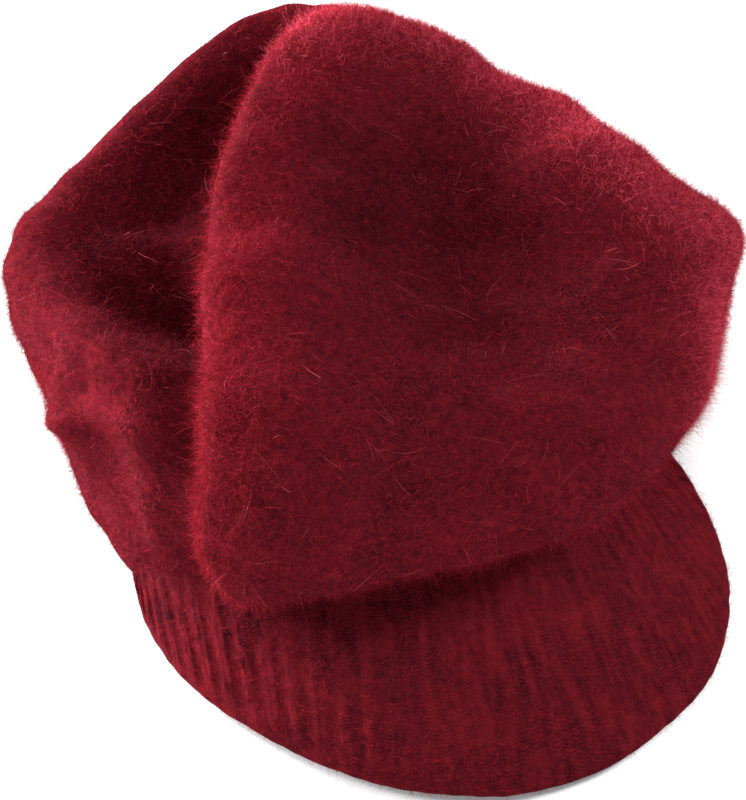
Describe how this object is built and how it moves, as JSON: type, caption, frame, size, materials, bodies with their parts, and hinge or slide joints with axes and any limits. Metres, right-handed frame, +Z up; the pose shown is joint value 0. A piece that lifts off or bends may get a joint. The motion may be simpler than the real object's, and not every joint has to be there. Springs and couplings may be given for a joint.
{
  "type": "peaked knitted beret",
  "caption": "Slouching knitted beret bag on a turned-in rib headband, with a stiffened rib-knit peak sewn along the front.",
  "frame": {"origin": "centre of the head opening, on the flat surface the rim lies on", "axes": "+Z up out of the crown, -Y towards the middle of the peak, +X to the viewer's right facing the peak"},
  "size_m": [0.2497, 0.3083, 0.104],
  "materials": {
    "crown_wool": "brushed, long-haired knit",
    "band_wool": "fine knit",
    "peak_wool": "rib knit",
    "elastic": "woven elastic",
    "thread": "sewing thread",
    "tape": "twill tape",
    "label": "woven, blank",
    "board": "flexible sheet",
    "interlining": "non-woven"
  },
  "bodies": {
    "hat": {"crown_knit": "crown_wool", "crown_top_closure": "crown_wool", "crown_back_seam": "crown_wool", "headband_rib": "band_wool", "headband_facing": "band_wool", "elastic_band": "elastic", "elastic_join_stitches": "thread", "peak_seam_tape": "tape", "tape_stitches": "thread", "crown_band_stitches": "thread", "hem_stitches": "thread", "blank_label": "label", "care_label": "label", "label_stitches": "thread"},
    "peak": {"peak_cover": "peak_wool", "peak_board": "board", "peak_interlining": "interlining", "peak_root_stitches": "thread"}
  },
  "joints": [
    {"name": "peak_lift", "type": "hinge", "parent": "hat", "child": "peak", "pos_m": [0, -0.024, 0], "axis": [-1, 0, 0], "range_deg": [0, 12]}
  ]
}
